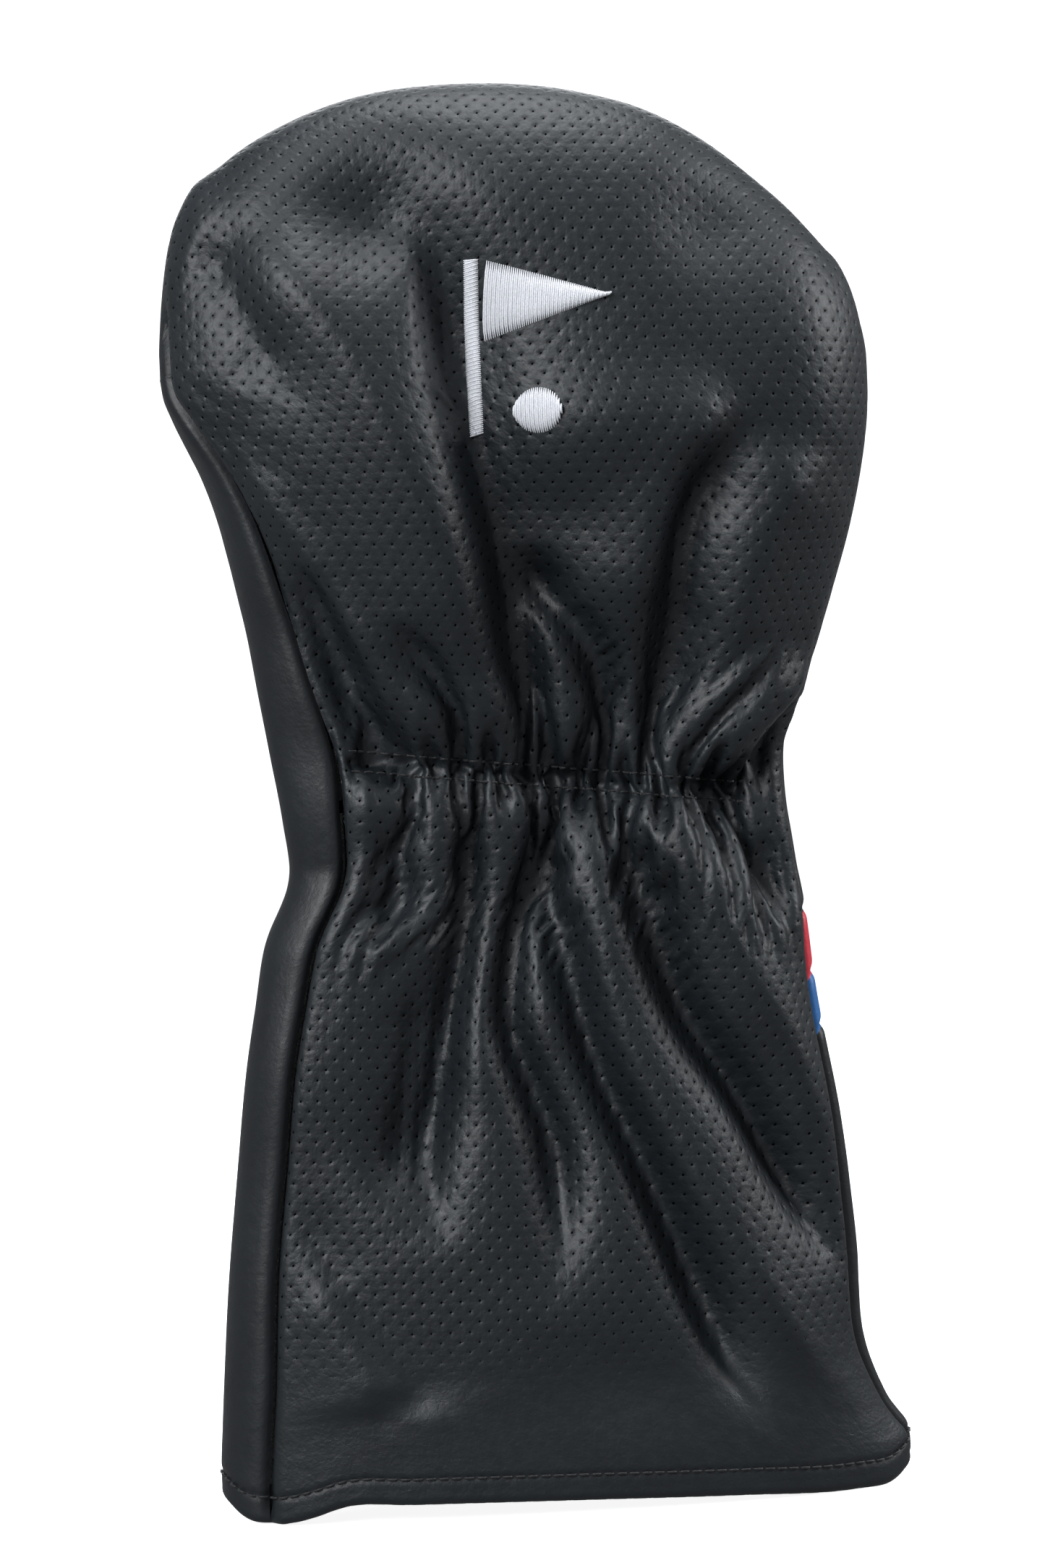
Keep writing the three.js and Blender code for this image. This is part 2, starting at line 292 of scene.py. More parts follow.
SKIRT_FOLDS = [
    (7, 4, 4, [(-41, 163), (-52, 149), (-61, 134), (-66, 108)]),
    (-4, 5, 6, [(-37, 165), (-47, 150), (-56, 134), (-61, 104), (-64, 84)]),
    (8, 4, 5, [(-33, 168), (-37, 152), (-36, 136)]),
    (5, 5, 5, [(-34, 120), (-38, 100), (-43, 72)]),
    (12, 5, 6, [(-17, 168), (-19, 147), (-25, 121), (-29, 103), (-33, 83), (-28, 60)]),
    (-3, 6, 6, [(-11, 164), (-14, 140), (-19, 114), (-20, 92)]),
    (12, 5, 5, [(-3, 168), (-6, 152), (-9, 136), (-11, 116), (-6, 100), (-2, 86), (-2, 66), (-7, 44)]),
    (13, 6, 5, [(4, 166), (1, 148), (4, 128), (10, 105), (21, 79), (30, 56), (39, 32), (48, 13)]),
    (-5, 8, 8, [(10, 161), (14, 115), (29, 80), (48, 45), (70, 14)]),
    (13, 5, 6, [(17, 167), (24, 141), (33, 116), (46, 96), (59, 71), (72, 44)]),
    (-4, 9, 9, [(29, 163), (43, 130), (60, 97), (72, 58)]),
    (7, 5, 5, [(41, 164), (52, 153), (63, 139)]),
    (3, 8, 6, [(-63, 74), (-49, 50), (-39, 34), (-36, 24)]),
    (-3, 9, 9, [(-60, 56), (-50, 38), (-46, 24)]),
]
# Broad hollows: depth, x, z, and radius across and up.
HOLLOWS = [
    (9, -34, 306, 17, 15),
    (-3, -58, 292, 13, 16),
    (4, 7, 232, 13, 11),
    (-2, 16, 256, 20, 10),
    (-4, 66, 266, 14, 26),
    (3, 44, 302, 14, 12),
    (2, 10, 30, 22, 12),
]
# The plain front panel is tauter, and only puckers a little beside the waist.
FRONT_FOLDS = [
    (3.0, 8, 8, [(-58, 178), (-40, 176), (-20, 181)]),
    (2.6, 8, 8, [(58, 172), (42, 170), (22, 176)]),
    (2.4, 10, 10, [(-30, 186), (-10, 188), (10, 184), (28, 186)]),
    (2.2, 9, 12, [(-56, 160), (-30, 150), (-12, 130)]),
    (2.4, 9, 12, [(56, 158), (34, 146), (18, 120)]),
    (2.0, 12, 14, [(-62, 205), (-44, 225), (-34, 250)]),
    (2.0, 12, 14, [(62, 205), (46, 228), (34, 256)]),
    (1.8, 14, 14, [(-40, 90), (-30, 55), (-28, 25)]),
    (1.8, 14, 14, [(30, 96), (34, 60), (44, 24)]),
    (-1.6, 18, 18, [(0, 120), (4, 80), (2, 40)]),
]

GATHER_LEFT = (-44.0, 178.5)  # the ends of the elastic's stitch line
GATHER_RIGHT = (48.0, 167.0)
PLEATS = 15


def densified(points, count=60):
    """More points on a smooth curve through a few."""
    points = np.array(points, float)
    along = np.arange(len(points), dtype=float)
    table = np.concatenate([along[:, None], points], axis=1)
    return through(table, np.linspace(0, along[-1], count))


def fold_depth(base, folds, first, last):
    """How deep the folds sink each point of a wall.

    first and last say how strongly a fold's ends show: 0 fades to nothing and 1 doesn't fade.
    """
    total = np.zeros(base.shape[:2])
    own_side = base[base[..., 1] * base[..., 1].mean() > 0]
    for depth, left, right, line in folds:
        curve = densified(line)
        off = (own_side[:, 0] - curve[:, :1]) ** 2 + (own_side[:, 2] - curve[:, 1:]) ** 2
        curve = own_side[off.argmin(axis=1)] * (0, 1, 0) + np.insert(curve, 1, 0, axis=1)
        margin = 5 * max(left, right)
        near = ((base > curve.min(axis=0) - margin) & (base < curve.max(axis=0) + margin)).all(axis=-1)
        p = base[near]
        best = np.full(len(p), np.inf)
        side = np.zeros(len(p))
        along = np.zeros(len(p))
        for k in range(len(curve) - 1):
            a, d = curve[k], curve[k + 1] - curve[k]
            t = np.clip(((p - a) @ d) / max(d @ d, 1e-6), 0, 1)
            away = p - a - t[:, None] * d
            distance = np.linalg.norm(away, axis=1)
            closer = distance < best
            best = np.where(closer, distance, best)
            side = np.where(closer, d[0] * away[:, 2] - d[2] * away[:, 0], side)
            along = np.where(closer, (k + t) / (len(curve) - 1), along)
        lean_left = smoothstep(0.5 + np.sign(side) * best / (left + right))
        q = best / (right + (left - right) * lean_left)
        profile = np.exp(-q * q / (0.45 + q))
        taper = smoothstep(along / 0.3 + first) * smoothstep((1 - along) / 0.3 + last)
        total[near] += depth * profile * taper
    return total


def hollow_depth(base, hollows):
    x, z = base[..., 0], base[..., 2]
    return sum(d * np.exp(-(((x - hx) / rx) ** 2) - ((z - hz) / rz) ** 2) for d, hx, hz, rx, rz in hollows)


def smooth_noise(x, scale, seed):
    """A smooth random curve of about unit size, along one axis."""
    local = np.random.default_rng(seed)
    knots = local.normal(size=400)
    at = np.clip(x / scale + 200, 1, 397)
    k = at.astype(int)
    u = smoothstep(at - k)
    return knots[k] * (1 - u) + knots[k + 1] * u


def gather_line(x):
    slope = (GATHER_RIGHT[1] - GATHER_LEFT[1]) / (GATHER_RIGHT[0] - GATHER_LEFT[0])
    return GATHER_LEFT[1] + slope * (x - GATHER_LEFT[0])


def gather_depth(x, z):
    """The pleats that the elastic pulls into the back panel, and the groove along its stitches."""
    inside = smoothstep((x - GATHER_LEFT[0] + 6) / 9) * smoothstep((GATHER_RIGHT[0] + 6 - x) / 9)
    above = z - gather_line(x)
    share = (x - GATHER_LEFT[0]) / (GATHER_RIGHT[0] - GATHER_LEFT[0])
    total = np.zeros(x.shape)
    for side, seed in ((above > 0, 3), (above <= 0, 11)):
        away = np.abs(above)
        warp = share * PLEATS + 0.45 * smooth_noise(share * PLEATS, 1.7, seed)
        size = 0.75 + 0.5 * np.abs(smooth_noise(share * PLEATS, 1.3, seed + 1))
        reach = 6 + 4 * np.abs(smooth_noise(share * PLEATS, 1.1, seed + 2))
        fine = np.cos(2 * np.pi * warp) * np.exp(-((away / reach) ** 1.5))
        coarse = np.cos(np.pi * warp + 1.1) * np.exp(-(((away - 9) / 8) ** 2))
        total = np.where(side, 1.7 * size * fine + 0.9 * coarse, total)
    groove = 4.5 * np.exp(-np.abs(above) / 4.0) - 2.6 * np.exp(-(((np.abs(above) - 11) / 8) ** 2))
    return inside * (total + groove)


# ---- The two panels' outer faces -----------------------------------------------------------------

COLUMNS = 151
ROW_STEP = 1.5
COARSE = 3  # the cloth settles first on every third row and column

back_wall = Wall(True, COLUMNS, ROW_STEP)
front_wall = Wall(False, COLUMNS, ROW_STEP)


def edge_round(shape, width):
    """How far each point of a wall is from its side seams, as a share of width, at most 1."""
    columns = np.linspace(0, 1, shape[1])
    near = np.minimum(columns, 1 - columns) * 170 / width
    return np.repeat(np.clip(near, 0, 1)[None, :], shape[0], axis=0)


def wall_depth(wall, gathered):
    base = wall.points()
    facing = normals(base, wall.back)[..., 1] * (-1 if wall.back else 1)
    weight = smoothstep((facing + 0.05) / 0.5)
    x, z = base[..., 0], base[..., 2]
    fade = np.ones((base.shape[0], 1))
    fade[len(wall.low_z) :, 0] = 1 - smoothstep((wall.climb - 0.6) / 0.38)
    seam = 1.6 * (1 - edge_round(base.shape[:2], 4.0)) ** 2 * fade
    if not gathered:
        return fold_depth(base, FRONT_FOLDS, 0, 0) * weight * fade + seam
    folds = fold_depth(base, HOOD_FOLDS, 0, 0.6) + fold_depth(base, SKIRT_FOLDS, 0.6, 0)
    folds += hollow_depth(base, HOLLOWS)
    folds *= 0.35 + 0.65 * smoothstep(edge_round(base.shape[:2], 16.0))
    return folds * weight * fade + seam, gather_depth(x, z) * weight


def faced(wall, depth, inset=0.0):
    """A wall's points, sunk by depth, on the layer that lies at an inset."""
    base = wall.points(inset)
    return base - depth[..., None] * normals(base, wall.back)


# ---- Cloth ---------------------------------------------------------------------------------------


def neighbours(rows, columns, start, step):
    """The two ends of the links that span rows and columns, every step from start."""
    if not rows:
        return (slice(None), slice(start, -columns, step)), (slice(None), slice(start + columns, None, step))
    if columns > 0:
        left, right = slice(None, -columns), slice(columns, None)
    elif columns < 0:
        left, right = slice(-columns, None), slice(None, columns)
    else:
        left = right = slice(None)
    return (slice(start, -rows, step), left), (slice(start + rows, None, step), right)


def settle(points, across, up, hold, steps, bend, sag):
    """Relaxes a grid of cloth so that it takes up its own lengths, and returns its points.

    across and up are the cloth's lengths between neighbouring columns and rows, hold is how firmly
    each point stays where it starts (1 is fixed), bend how firmly the cloth keeps flat, and sag how far
    each step lets it drop.
    """
    p = points.copy()
    loose = (hold < 1).astype(float)[..., None]
    diagonal = np.sqrt(across[:-1] ** 2 + up[:, :-1] ** 2)
    links = [
        (0, 1, across, 1.0),
        (1, 0, up, 1.0),
        (1, 1, diagonal, 0.35),
        (1, -1, diagonal, 0.35),
        (0, 2, across[:, :-1] + across[:, 1:], bend),
        (2, 0, up[:-1] + up[1:], bend),
        (0, 4, across[:, :-3] + across[:, 1:-2] + across[:, 2:-1] + across[:, 3:], bend * 0.4),
        (4, 0, up[:-3] + up[1:-2] + up[2:-1] + up[3:], bend * 0.4),
    ]
    for _ in range(steps):
        p[..., 2] -= sag * loose[..., 0]
        for rows, columns, rest, strength in links:
            # No two links of one pass share a point.
            passes = 2 * max(rows, abs(columns))
            for start in range(passes):
                first, second = neighbours(rows, columns, start, passes)
                wanted = rest[start::passes] if rows else rest[:, start::passes]
                d = p[second] - p[first]
                length = np.maximum(np.sqrt((d * d).sum(axis=-1)), 1e-6)
                pull = strength * (length - wanted) / length
                first_loose, second_loose = loose[first], loose[second]
                move = d * (pull[..., None] / np.maximum(first_loose + second_loose, 1e-6))
                p[first] += move * first_loose
                p[second] -= move * second_loose
        p += hold[..., None] * (points - p)
    return p


def lengths(points):
    """The lengths between a grid's neighbouring columns and between its neighbouring rows."""
    return (
        np.linalg.norm(np.diff(points, axis=1), axis=-1),
        np.linalg.norm(np.diff(points, axis=0), axis=-1),
    )


PANEL_WIDTH = 168.0  # the back panel's cut is at least this wide
COARSE_HOLD = 0.07
COARSE_STEPS = 220
COARSE_BEND = 0.35
FINE_STEPS = 90
FINE_BEND = 0.30
SAG = 0.004  # how far each step lets the cloth drop, in mm


def upsampled(grid, step):
    """A grid with step times as many rows and columns, on smooth curves through its points."""
    for axis in (0, 1):
        grid = np.moveaxis(grid, axis, 0)
        wide = np.concatenate([2 * grid[:1] - grid[1:2], grid, 2 * grid[-1:] - grid[-2:-1]])
        at = np.arange((len(grid) - 1) * step + 1) / step
        k = np.minimum(at.astype(int), len(grid) - 2)
        u = (at - k).reshape(-1, *([1] * (grid.ndim - 1)))
        a, b, c, d = wide[k], wide[k + 1], wide[k + 2], wide[k + 3]
        grid = b + 0.5 * u * (c - a + u * (2 * a - 5 * b + 4 * c - d + u * (3 * (b - c) + d - a)))
        grid = np.moveaxis(grid, 0, axis)
    return grid


def coarse_sum(field, axis):
    """Sums of each COARSE neighbouring lengths along an axis."""
    field = np.moveaxis(field, axis, 0)
    total = field.reshape(-1, COARSE, *field.shape[1:]).sum(axis=1)
    return np.moveaxis(total, 0, axis)


def settled_back(folds, pleats):
    """The back panel's outer face: the folds settle on a coarse grid, then the pleats on the fine one."""
    base = back_wall.points()
    low = len(back_wall.low_z)
    height = base[:, base.shape[1] // 2, 2]
    face = base - folds[..., None] * normals(base, True)
    bare_across, cloth_up = lengths(face)
    row_length = bare_across.sum(axis=1)
    spare = np.exp(-(((height - WAIST_Z) / np.where(height > WAIST_Z, 24, 46)) ** 4))
    cut = row_length + spare * np.maximum(PANEL_WIDTH - row_length, 0)
    cut = blur(cut[:, None], 5, 0)
    even = cut / bare_across.shape[1]
    cloth_across = bare_across * (1 - spare[:, None]) + even * spare[:, None]
    cloth_across[low:] = bare_across[low:]
    away = base[..., 2] - gather_line(base[..., 0])
    in_elastic = smoothstep((base[..., 0] - GATHER_LEFT[0] + 8) / 8) * smoothstep(
        (GATHER_RIGHT[0] + 8 - base[..., 0]) / 8
    )
    near_line = np.exp(-((away / 12) ** 2)) * in_elastic

    columns = np.linspace(0, 1, base.shape[1])
    edge = smoothstep(1 - np.minimum(columns, 1 - columns) / 0.06)
    far = 1 - np.exp(-(((height - WAIST_Z + 4) / 42) ** 4))
    hold = np.maximum(COARSE_HOLD + 0.45 * far[:, None], 0.25 * edge[None, :])
    hold = np.maximum(hold, 0.5 * near_line)
    hold[:, [0, -1]] = 1
    hold[-1] = 1
    hold[0] = 0.5

    every = slice(None, None, COARSE)
    coarse = face[every, every]
    kept = near_line[every, every][:, :-1]
    wanted = kept * lengths(coarse)[0] + (1 - kept) * coarse_sum(cloth_across, 1)[every]
    wanted_up = coarse_sum(cloth_up, 0)[:, every]
    coarse = settle(coarse, wanted, wanted_up, hold[every, every], COARSE_STEPS, COARSE_BEND, SAG)
    face = upsampled(coarse, COARSE)

    own_across, own_up = lengths(face)
    calm = smoothstep((np.abs(away) - np.where(away > 0, 20, 30)) / 26)
    cloth_across += calm[:, :-1] * (own_across - cloth_across)
    cloth_up += calm[:-1] * (own_up - cloth_up)
    face = face - pleats[..., None] * normals(face, True)
    hold = 0.5 * edge[None, :] * np.ones(base.shape[:2])
    hold = np.maximum(hold, 0.10 - 0.085 * np.exp(-((away / 26) ** 2)) * in_elastic)
    hold = np.maximum(hold, 0.3 * calm)
    hold = np.maximum(hold, 0.25 * np.exp(-((away / 1.8) ** 2)) * in_elastic)
    hold[:, [0, -1]] = 1
    hold[-1] = 1
    return settle(face, cloth_across, cloth_up, hold, FINE_STEPS, FINE_BEND, SAG)


# ---- Faces of the two panels ---------------------------------------------------------------------

SASH_X, SASH_Z = 64.0, 139.0  # a point on the sash's upper edge
SASH_UP = (-0.8, 0.6)
SASH_EDGES = (0.0, -10.0, -19.0)  # red lies between the first two, and blue between the last two


def sash_height(points):
    """How far points lie above the sash's upper edge."""
    return (points[..., 0] - SASH_X) * SASH_UP[0] + (points[..., 2] - SASH_Z) * SASH_UP[1]


def seam_matched(front, back):
    """The front face with its two edges moved onto the back face's edges."""
    columns = np.linspace(0, 1, front.shape[1])
    for edge, away in ((0, columns), (-1, 1 - columns)):
        shift = back[:, edge] - front[:, edge]
        front = front + shift[:, None] * (1 - smoothstep(away / 0.3))[None, :, None]
    return front


folds, pleats = wall_depth(back_wall, True)
back_face = settled_back(folds, pleats)
front_face = seam_matched(faced(front_wall, wall_depth(front_wall, False)), back_face)

HEM_RADIUS = 1.43
HEM_ROWS = 7  # rows added under the first one, where the edge turns up inside


def inward_at_hem(face, back):
    inward = -normals(face, back)[1] * (1, 1, 0)
    return inward / np.linalg.norm(inward, axis=-1, keepdims=True)


def with_hem(face, inward):
    """A panel's grid with its bottom edge rolled under and up inside."""
    foot = face[1]
    up = np.array((0, 0, 1.0))
    rows = [foot + 2 * HEM_RADIUS * inward + up * ROW_STEP * k for k in range(5, 0, -1)]
    for angle in np.radians((180, 120, 60)):
        rows.append(foot + HEM_RADIUS * ((1 - math.cos(angle)) * inward - math.sin(angle) * up))
    return np.concatenate([np.array(rows), face[1:]])


def sampled(grid, row, column):
    """A grid's values at fractional rows and columns, on smooth curves through its points."""
    wide = np.concatenate([2 * grid[:1] - grid[1:2], grid, 2 * grid[-1:] - grid[-2:-1]])
    wide = np.concatenate([2 * wide[:, :1] - wide[:, 1:2], wide, 2 * wide[:, -1:] - wide[:, -2:-1]], axis=1)
    row, column = np.broadcast_arrays(row, column)
    r = np.clip(row.astype(int), 0, grid.shape[0] - 2)
    c = np.clip(column.astype(int), 0, grid.shape[1] - 2)

    def weights(u):
        return (
            u * (-1 + u * (2 - u)) / 2,
            1 + u * u * (3 * u - 5) / 2,
            u * (1 + u * (4 - 3 * u)) / 2,
            u * u * (u - 1) / 2,
        )

    across = weights(column - c)
    total = 0
    for i, w in enumerate(weights(row - r)):
        for j, v in enumerate(across):
            total = total + (w * v)[..., None] * wide[r + i, c + j]
    return total


back_inward, front_inward = inward_at_hem(back_face, True), inward_at_hem(front_face, False)
for edge in (0, -1):
    shared = back_inward[edge] + front_inward[edge]
    back_inward[edge] = front_inward[edge] = shared / np.linalg.norm(shared)
back_cloth = with_hem(back_face, back_inward)
front_cloth = with_hem(front_face, front_inward)
back_out = normals(back_cloth, True)
front_out = normals(front_cloth, False)


# ---- Meshes --------------------------------------------------------------------------------------


def add_mesh(name, points, faces, smooth=True):
    mesh = bpy.data.meshes.new(name)
    mesh.vertices.add(len(points))
    mesh.vertices.foreach_set("co", (np.asarray(points, np.float32) * MM).ravel())
    faces = np.asarray(faces, np.int32)
    sides = faces.shape[1]
    mesh.loops.add(faces.size)
    mesh.loops.foreach_set("vertex_index", faces.ravel())
    mesh.polygons.add(len(faces))
    mesh.polygons.foreach_set("loop_start", np.arange(0, faces.size, sides, dtype=np.int32))
    mesh.polygons.foreach_set("loop_total", np.full(len(faces), sides, np.int32))
    mesh.update(calc_edges=True)
    mesh.polygons.foreach_set("use_smooth", np.full(len(mesh.polygons), smooth))
    obj = bpy.data.objects.new(name, mesh)
    bpy.context.scene.collection.objects.link(obj)
    return obj


def grid_faces(rows, columns, back):
    """The quads of a grid of vertices, wound so that they face outward."""
    i = np.arange(rows * columns).reshape(rows, columns)
    quads = np.stack([i[:-1, :-1], i[:-1, 1:], i[1:, 1:], i[1:, :-1]], axis=-1).reshape(-1, 4)
    return quads if back else quads[:, ::-1]


def set_attribute(obj, name, kind, values):
    layer = obj.data.attributes.new(name, kind, "POINT")
    field = "vector" if kind == "FLOAT_VECTOR" else "value"
    layer.data.foreach_set(field, np.asarray(values, np.float32).ravel())


HOLE_STEP = 2.4  # the holes fill every second square of this lattice
FINE = HOLE_STEP / 4
HOLE_RADIUS = 0.46
HOLE_DEPTH = 0.5
STITCH_Z = 6.5
SEAM_PINCH = 0.9  # how far the side seams pull both panels' edges in


def perforated_panel(name):
    """The back panel on a fine lattice, in its flat cut, so that its holes keep their even spacing."""
    low = len(back_wall.low_z) - 1
    across, up = lengths(back_face)
    cut = blur(across.sum(axis=1)[:, None], 6, 0)[: low + 1, 0]
    climb = up[low:].sum(axis=0)
    half = int(cut.max() / 2 / FINE) + 2
    top = int((SHOULDER_Z + climb.max()) / FINE) + 2
    i = np.arange(-half, half + 1)
    j = np.arange(-int(HEM_ROWS * ROW_STEP / FINE) - 1, top)
    i, j = np.meshgrid(i, j)
    flat_x, flat_z = i * FINE, j * FINE
    cell_i, cell_j = np.floor((i + 0.5) / 4), np.floor((j + 0.5) / 4)
    from_i, from_j = i - 4 * cell_i - 2, j - 4 * cell_j - 2
    holed = (cell_i + cell_j) % 2 == 0
    centre = holed & (from_i == 0) & (from_j == 0)
    ring = holed & (np.maximum(abs(from_i), abs(from_j)) == 1)
    pull = np.where(ring, HOLE_RADIUS / np.maximum(np.hypot(from_i, from_j), 1) - FINE, 0)
    x, z = flat_x + pull * from_i, flat_z + pull * from_j

    share = 0.5 + x / np.interp(z, back_wall.low_z, cut)
    column = np.clip(share, 0, 1) * (COLUMNS - 1)
    high = (z - SHOULDER_Z) / np.interp(column, np.arange(COLUMNS), climb)
    row = np.where(z < SHOULDER_Z, z / ROW_STEP, low + high * len(back_wall.climb)) + HEM_ROWS
    last = len(back_cloth) - 1
    inside = (share > 0) & (share < 1) & (row > 0) & (row < last)
    row = np.clip(row, 0, last)
    points = sampled(back_cloth, row, column)
    out = sampled(back_out, row, column)
    # The holes are shallower, and their painted shade fainter, towards the hem.
    shown = smoothstep((flat_z - 22) / 34)
    # They fade out beside the shoulders' edges, where the lattice is stretched.
    stretch = np.linalg.norm(np.gradient(points, FINE, axis=1), axis=-1)
    shown = shown * (1 - smoothstep((stretch - 1.7) / 0.6))
    depth = shown * (HOLE_DEPTH * centre + 0.03 * ring) + 0.35 * np.exp(-(((z - STITCH_Z) / 0.7) ** 2))
    to_seam = np.minimum(column, COLUMNS - 1 - column) * ROW_STEP * 0.75
    pinched = smoothstep((row - HEM_ROWS) / 4) * (row < last - 12)
    depth += SEAM_PINCH * np.exp(-((to_seam / 0.9) ** 2)) * pinched
    points -= depth[..., None] * out

    faces = grid_faces(*i.shape, True)
    faces = faces[inside.ravel()[faces].any(axis=1)]
    used, faces = np.unique(faces, return_inverse=True)
    obj = add_mesh(name, points.reshape(-1, 3)[used], faces.reshape(-1, 4))
    flat = np.stack([flat_x, flat_z, 0 * flat_x], axis=-1)
    set_attribute(obj, "flat", "FLOAT_VECTOR", flat.reshape(-1, 3)[used])
    # The hole attribute marks the hole centres, which the leather paints near black as painted shade.
    set_attribute(obj, "hole", "FLOAT", (centre * shown).ravel()[used])
    return obj


def smooth_panel():
    """The front panel's points and flat places, with the seams of the sash pressed in."""
    points = upsampled(front_cloth, 2)
    out = normals(points, False)
    across, up = lengths(points)
    middle = points.shape[1] // 2
    columns = (np.arange(points.shape[1]) - middle) * across.mean()
    rows = np.concatenate([[0], np.cumsum(up[:, middle])]) - HEM_ROWS * ROW_STEP
    height = sash_height(points)
    depth = 0.35 * np.exp(-(((rows - STITCH_Z) / 0.8) ** 2))[:, None] * np.ones(points.shape[:2])
    to_seam = np.minimum(columns - columns[0], columns[-1] - columns)
    row = np.arange(len(depth)) / 2
    pinched = smoothstep((row - HEM_ROWS) / 4) * (row < row[-1] - 12)
    depth += SEAM_PINCH * np.exp(-((to_seam / 0.9) ** 2)) * pinched[:, None]
    for edge in SASH_EDGES:
        depth += 0.8 * np.exp(-(((height - edge) / 0.9) ** 2)) * (points[..., 2] < 170)
    points = points - depth[..., None] * out
    flat = np.stack(np.meshgrid(columns, rows) + [np.zeros(points.shape[:2])], axis=-1)
    return points, flat


def cut_panel(name, points, flat, planes):
    """A piece of a panel's grid: what lies between planes, each a place above the sash's edge and a side."""
    obj = add_mesh(name, points.reshape(-1, 3), grid_faces(*points.shape[:2], False))
    set_attribute(obj, "flat", "FLOAT_VECTOR", flat)
    normal = Vector((SASH_UP[0], 0, SASH_UP[1]))
    mesh = bmesh.new()
    mesh.from_mesh(obj.data)
    for edge, side in planes:
        bmesh.ops.bisect_plane(
            mesh,
            geom=mesh.verts[:] + mesh.edges[:] + mesh.faces[:],
            dist=1e-7,
            plane_co=(Vector((SASH_X, 0, SASH_Z)) + normal * edge) * MM,
            plane_no=normal * side,
            clear_inner=True,
        )
    mesh.to_mesh(obj.data)
    mesh.free()
    return obj


def slab(name, outer, inner, back):
    """A closed layer between two grids of points."""
    rows, columns = outer.shape[:2]
    count = rows * columns
    quads = grid_faces(rows, columns, back)
    i = np.arange(count).reshape(rows, columns)
    rim = np.concatenate([i[0], i[1:, -1], i[-1, -2::-1], i[-2:0:-1, 0]])
    after = np.roll(rim, -1)
    edge = np.stack([rim + count, after + count, after, rim], axis=-1)
    if not back:
        edge = edge[:, ::-1]
    points = np.concatenate([outer.reshape(-1, 3), inner.reshape(-1, 3)])
    return add_mesh(name, points, np.concatenate([quads, quads[:, ::-1] + count, edge]))


def strands(name, paths, outs, radius, flatten=1.0, sides=6):
    """Threads along paths: points and outward directions are arrays of path, point, xyz."""
    paths, outs = np.asarray(paths), np.asarray(outs)
    along = np.gradient(paths, axis=1)
    along /= np.maximum(np.linalg.norm(along, axis=-1, keepdims=True), 1e-9)
    side = np.cross(along, outs)
    side /= np.maximum(np.linalg.norm(side, axis=-1, keepdims=True), 1e-9)
    out = np.cross(side, along)
    count, length = paths.shape[:2]
    width = radius * (1 - 0.55 * np.abs(np.linspace(-1, 1, length)) ** 6)[None, :, None, None]
    turn = np.linspace(0, 2 * math.pi, sides, endpoint=False)[:, None]
    ring = side[:, :, None] * np.cos(turn) + flatten * out[:, :, None] * np.sin(turn)
    points = paths[:, :, None] + width * ring
    i = np.arange(count * length * sides).reshape(count, length, sides)
    j = np.roll(i, -1, axis=2)
    faces = np.stack([i[:, :-1], j[:, :-1], j[:, 1:], i[:, 1:]], axis=-1).reshape(-1, 4)
    return add_mesh(name, points.reshape(-1, 3), faces)


def stitch_row(name, cloth, out, rows, columns, pitch, length):
    """Black stitches, each a short thread over the cloth, along a line through a panel's grid."""
    line = sampled(cloth, rows, columns)
    outward = sampled(out, rows, columns)
    along = np.concatenate([[0], np.cumsum(np.linalg.norm(np.diff(line, axis=0), axis=1))])
    starts = np.arange(0.4, along[-1] - length, pitch)
    at = starts[:, None] + np.linspace(0, length, 7)
    paths = np.stack([np.interp(at, along, line[:, k]) for k in range(3)], axis=-1)
    outs = np.stack([np.interp(at, along, outward[:, k]) for k in range(3)], axis=-1)
    lift = 0.16 - 0.5 * np.abs(np.linspace(-1, 1, 7)) ** 4
    return strands(name, paths + lift[None, :, None] * outs, outs, 0.27)


back_panel = perforated_panel("cover_back_panel")
panel_points, panel_flat = smooth_panel()
pieces = {}
for name, planes in (
    ("cover_front_upper_panel", [(SASH_EDGES[0], 1)]),
    ("cover_front_red_band", [(SASH_EDGES[0], -1), (SASH_EDGES[1], 1)]),
    ("cover_front_blue_band", [(SASH_EDGES[1], -1), (SASH_EDGES[2], 1)]),
    ("cover_front_lower_panel", [(SASH_EDGES[2], -1)]),
):
    pieces[name] = cut_panel(name, panel_points, panel_flat, planes)

# ---- Stitches and the emblem ---------------------------------------------------------------------

even_columns = np.linspace(0, COLUMNS - 1, 1200)
hem_row = np.full(1200, HEM_ROWS + STITCH_Z / ROW_STEP)
hem_back = stitch_row("cover_hem_stitches_back", back_cloth, back_out, hem_row, even_columns, 3.0, 2.4)
hem_front = stitch_row("cover_hem_stitches_front", front_cloth, front_out, hem_row, even_columns, 3.0, 2.4)


def waist_row(offset):
    """The grid's fractional rows and columns along the elastic's stitch line, moved up by an offset."""
    rows, columns = [], []
    for column in range(COLUMNS):
        strip = back_cloth[:, column]
        if not GATHER_LEFT[0] - 2 < strip[120, 0] < GATHER_RIGHT[0] + 2:
            continue
        above = strip[:, 2] - gather_line(strip[:, 0]) - offset
        crossing = np.flatnonzero((above[60:-1] <= 0) & (above[61:] > 0))[0] + 60
        rows.append(crossing + above[crossing] / (above[crossing] - above[crossing + 1]))
        columns.append(column)
    return np.array(rows), np.array(columns, float)


waist_stitches = [
    stitch_row(f"cover_elastic_stitches_{side}", back_cloth, back_out, *waist_row(offset), 3.2, 2.5)
    for side, offset in (("upper", 2.4), ("lower", -2.4))
]

